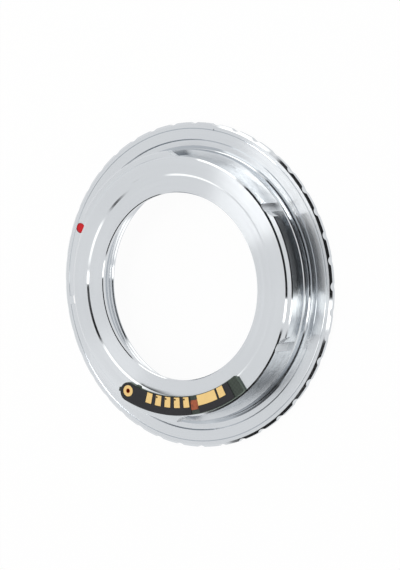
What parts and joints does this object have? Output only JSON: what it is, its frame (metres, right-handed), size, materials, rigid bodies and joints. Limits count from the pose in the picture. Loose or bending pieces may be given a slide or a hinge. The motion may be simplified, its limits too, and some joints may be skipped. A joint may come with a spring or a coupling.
{
  "type": "lens mount adapter",
  "caption": "Metal ring that screws onto a thread-mount lens and locks into a bayonet camera throat, with a curved contact chip on its front.",
  "frame": {"origin": "centre of the lens seat, at the bottom of the ring, on the optical axis", "axes": "+Z along the optical axis from the lens seat towards the bayonet and the chip; the chip lies towards -Y and one bayonet lug towards +X"},
  "size_m": [0.0644, 0.0644, 0.0083],
  "materials": {
    "bright_plating": "bright plating over fine turning marks",
    "red_enamel": "glossy enamel",
    "board_laminate": "dark green glass-fibre laminate",
    "black_cover": "satin black",
    "gold_contact": "gold plating, satin",
    "bare_copper": "dull red-brown copper"
  },
  "bodies": {
    "root": {"adapter_ring": "bright_plating", "index_dot": "red_enamel", "chip_board": "board_laminate", "chip_cover_left": "black_cover", "chip_cover_right": "black_cover", "contact_pad_1": "gold_contact", "contact_pad_2": "gold_contact", "contact_pad_3": "gold_contact", "contact_pad_4": "gold_contact", "contact_pad_5": "gold_contact", "wide_contact_pad": "gold_contact", "narrow_contact_pad": "gold_contact", "eyelet": "gold_contact", "copper_patch": "bare_copper"}
  },
  "joints": []
}
